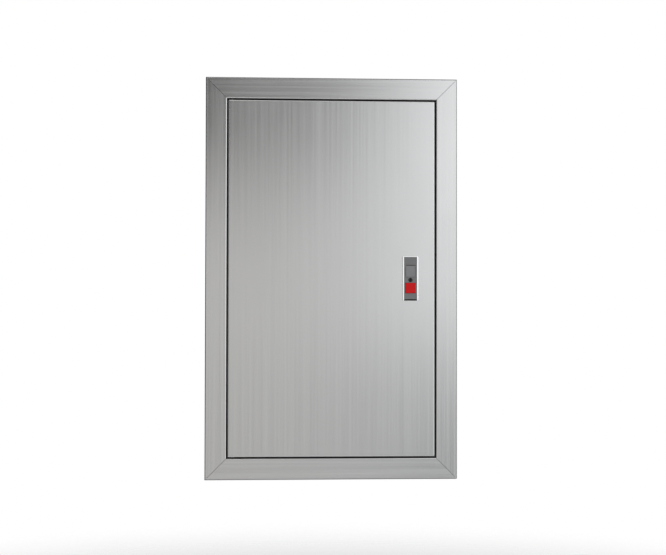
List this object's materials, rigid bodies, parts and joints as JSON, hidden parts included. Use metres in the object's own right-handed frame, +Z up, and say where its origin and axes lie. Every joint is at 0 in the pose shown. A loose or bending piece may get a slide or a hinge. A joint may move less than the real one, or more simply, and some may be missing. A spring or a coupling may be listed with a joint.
{
  "type": "fire alarm control panel",
  "caption": "Flush wall cabinet for a fire alarm panel: mitred metal trim, flush hinged door with push lock, and an operator unit, boards, power supply and batteries inside.",
  "frame": {"origin": "centre of the back box's rear outer face", "axes": "+X to the right seen from the front, +Y into the wall, +Z up"},
  "size_m": [0.5, 0.165, 0.796],
  "materials": {
    "trim_steel": "brushed stainless steel, satin",
    "box_steel": "galvanised sheet steel",
    "plate_paint": "light grey powder coat",
    "zinc": "zinc plated steel",
    "chrome": "bright chrome plate",
    "lock_grey": "satin nickel, grey",
    "red_plastic": "red moulded plastic",
    "foam": "black foam rubber",
    "black_rubber": "black rubber",
    "nylon": "natural nylon",
    "brass": "plain brass",
    "board_green": "green solder resist",
    "terminal_green": "green moulded plastic",
    "relay_black": "black moulded plastic",
    "capacitor_sleeve": "dark blue sleeve",
    "aluminium": "plain aluminium",
    "duct_grey": "grey extruded plastic",
    "battery_case": "dark grey moulded case",
    "wire_red": "red cable sheath",
    "wire_black": "black cable sheath",
    "ribbon_grey": "grey ribbon cable",
    "fascia_paint": "dark grey textured paint",
    "bezel_black": "black moulded plastic",
    "display_glass": "dark green display",
    "lamp_red": "red diffused lens",
    "lamp_amber": "amber diffused lens",
    "lamp_green": "green diffused lens",
    "key_grey": "light grey key cap",
    "pocket_plastic": "dark grey moulded plastic",
    "spring_steel": "spring steel"
  },
  "bodies": {
    "cabinet": {"back_box": "box_steel", "frame_top_rail": "trim_steel", "frame_bottom_rail": "trim_steel", "frame_hinge_rail": "trim_steel", "frame_lock_rail": "trim_steel", "frame_corner_plates": "trim_steel", "pan_head_screws": "zinc", "foam_seal": "foam", "pivot_pins": "zinc", "entry_grommets": "black_rubber", "mounting_plate": "plate_paint", "studs_and_nuts": "zinc", "earth_stud": "brass", "loop_board": "board_green", "board_pillars": "nylon", "loop_terminals": "terminal_green", "board_relays": "relay_black", "board_capacitors": "capacitor_sleeve", "power_supply_tray": "aluminium", "power_supply_cover": "aluminium", "power_supply_board": "board_green", "screw_terminals": "relay_black", "cable_duct": "duct_grey", "duct_cover": "duct_grey", "battery_shelf": "plate_paint", "battery_left": "battery_case", "battery_right": "battery_case", "battery_tabs": "zinc", "battery_bar": "zinc", "battery_lead_positive": "wire_red", "battery_lead_negative": "wire_black", "battery_link_lead": "wire_red", "ribbon_cable": "ribbon_grey", "fascia_plate": "fascia_paint", "fascia_pillars": "zinc", "display_bezel": "bezel_black", "display_panel": "display_glass", "display_board": "board_green", "lamps_red": "lamp_red", "lamps_amber": "lamp_amber", "lamp_power": "lamp_green", "key_switch_barrel": "chrome"},
    "door": {"door_skin": "trim_steel", "door_stiffeners": "zinc", "door_pivot_brackets": "zinc", "pivot_bushes": "nylon", "document_pocket": "pocket_plastic", "lock_housing": "chrome", "lock_clamps": "zinc", "lock_flap_pin": "zinc", "lock_button_spring": "spring_steel"},
    "lock_flap": {"lock_flap": "lock_grey"},
    "lock_button": {"lock_button": "red_plastic"},
    "lock_key_plug": {"lock_plug": "chrome", "lock_cam": "zinc"},
    "access_key": {"key_switch_key": "chrome"},
    "button_accept": {"button_accept": "key_grey"},
    "button_silence": {"button_silence": "key_grey"},
    "button_reset": {"button_reset": "key_grey"},
    "button_test": {"button_test": "key_grey"}
  },
  "joints": [
    {"name": "door_hinge", "type": "hinge", "parent": "cabinet", "child": "door", "pos_m": [-0.1985, -0.1535, 0], "axis": [0, 0, -1], "range_deg": [0, 110]},
    {"name": "lock_button_press", "type": "slide", "parent": "door", "child": "lock_button", "axis": [0, 1, 0], "range_m": [0, 0.003], "stiffness_N_per_m": 300, "springref_m": -0.002, "deforming": ["lock_button_spring"]},
    {"name": "lock_flap_lift", "type": "hinge", "parent": "door", "child": "lock_flap", "pos_m": [0.1564, -0.1611, 0.0242], "axis": [-1, 0, 0], "range_deg": [0, 45]},
    {"name": "lock_key_turn", "type": "hinge", "parent": "door", "child": "lock_key_plug", "pos_m": [0.1564, -0.15, -0.0032], "axis": [0, -1, 0], "range_deg": [0, 90]},
    {"name": "access_key_turn", "type": "hinge", "parent": "cabinet", "child": "access_key", "pos_m": [0.115, -0.115, 0.14], "axis": [0, 1, 0], "range_deg": [0, 90]},
    {"name": "accept_press", "type": "slide", "parent": "cabinet", "child": "button_accept", "axis": [0, 1, 0], "range_m": [0, 0.0015], "stiffness_N_per_m": 400, "springref_m": -0.001},
    {"name": "silence_press", "type": "slide", "parent": "cabinet", "child": "button_silence", "axis": [0, 1, 0], "range_m": [0, 0.0015], "stiffness_N_per_m": 400, "springref_m": -0.001},
    {"name": "reset_press", "type": "slide", "parent": "cabinet", "child": "button_reset", "axis": [0, 1, 0], "range_m": [0, 0.0015], "stiffness_N_per_m": 400, "springref_m": -0.001},
    {"name": "test_press", "type": "slide", "parent": "cabinet", "child": "button_test", "axis": [0, 1, 0], "range_m": [0, 0.0015], "stiffness_N_per_m": 400, "springref_m": -0.001}
  ]
}
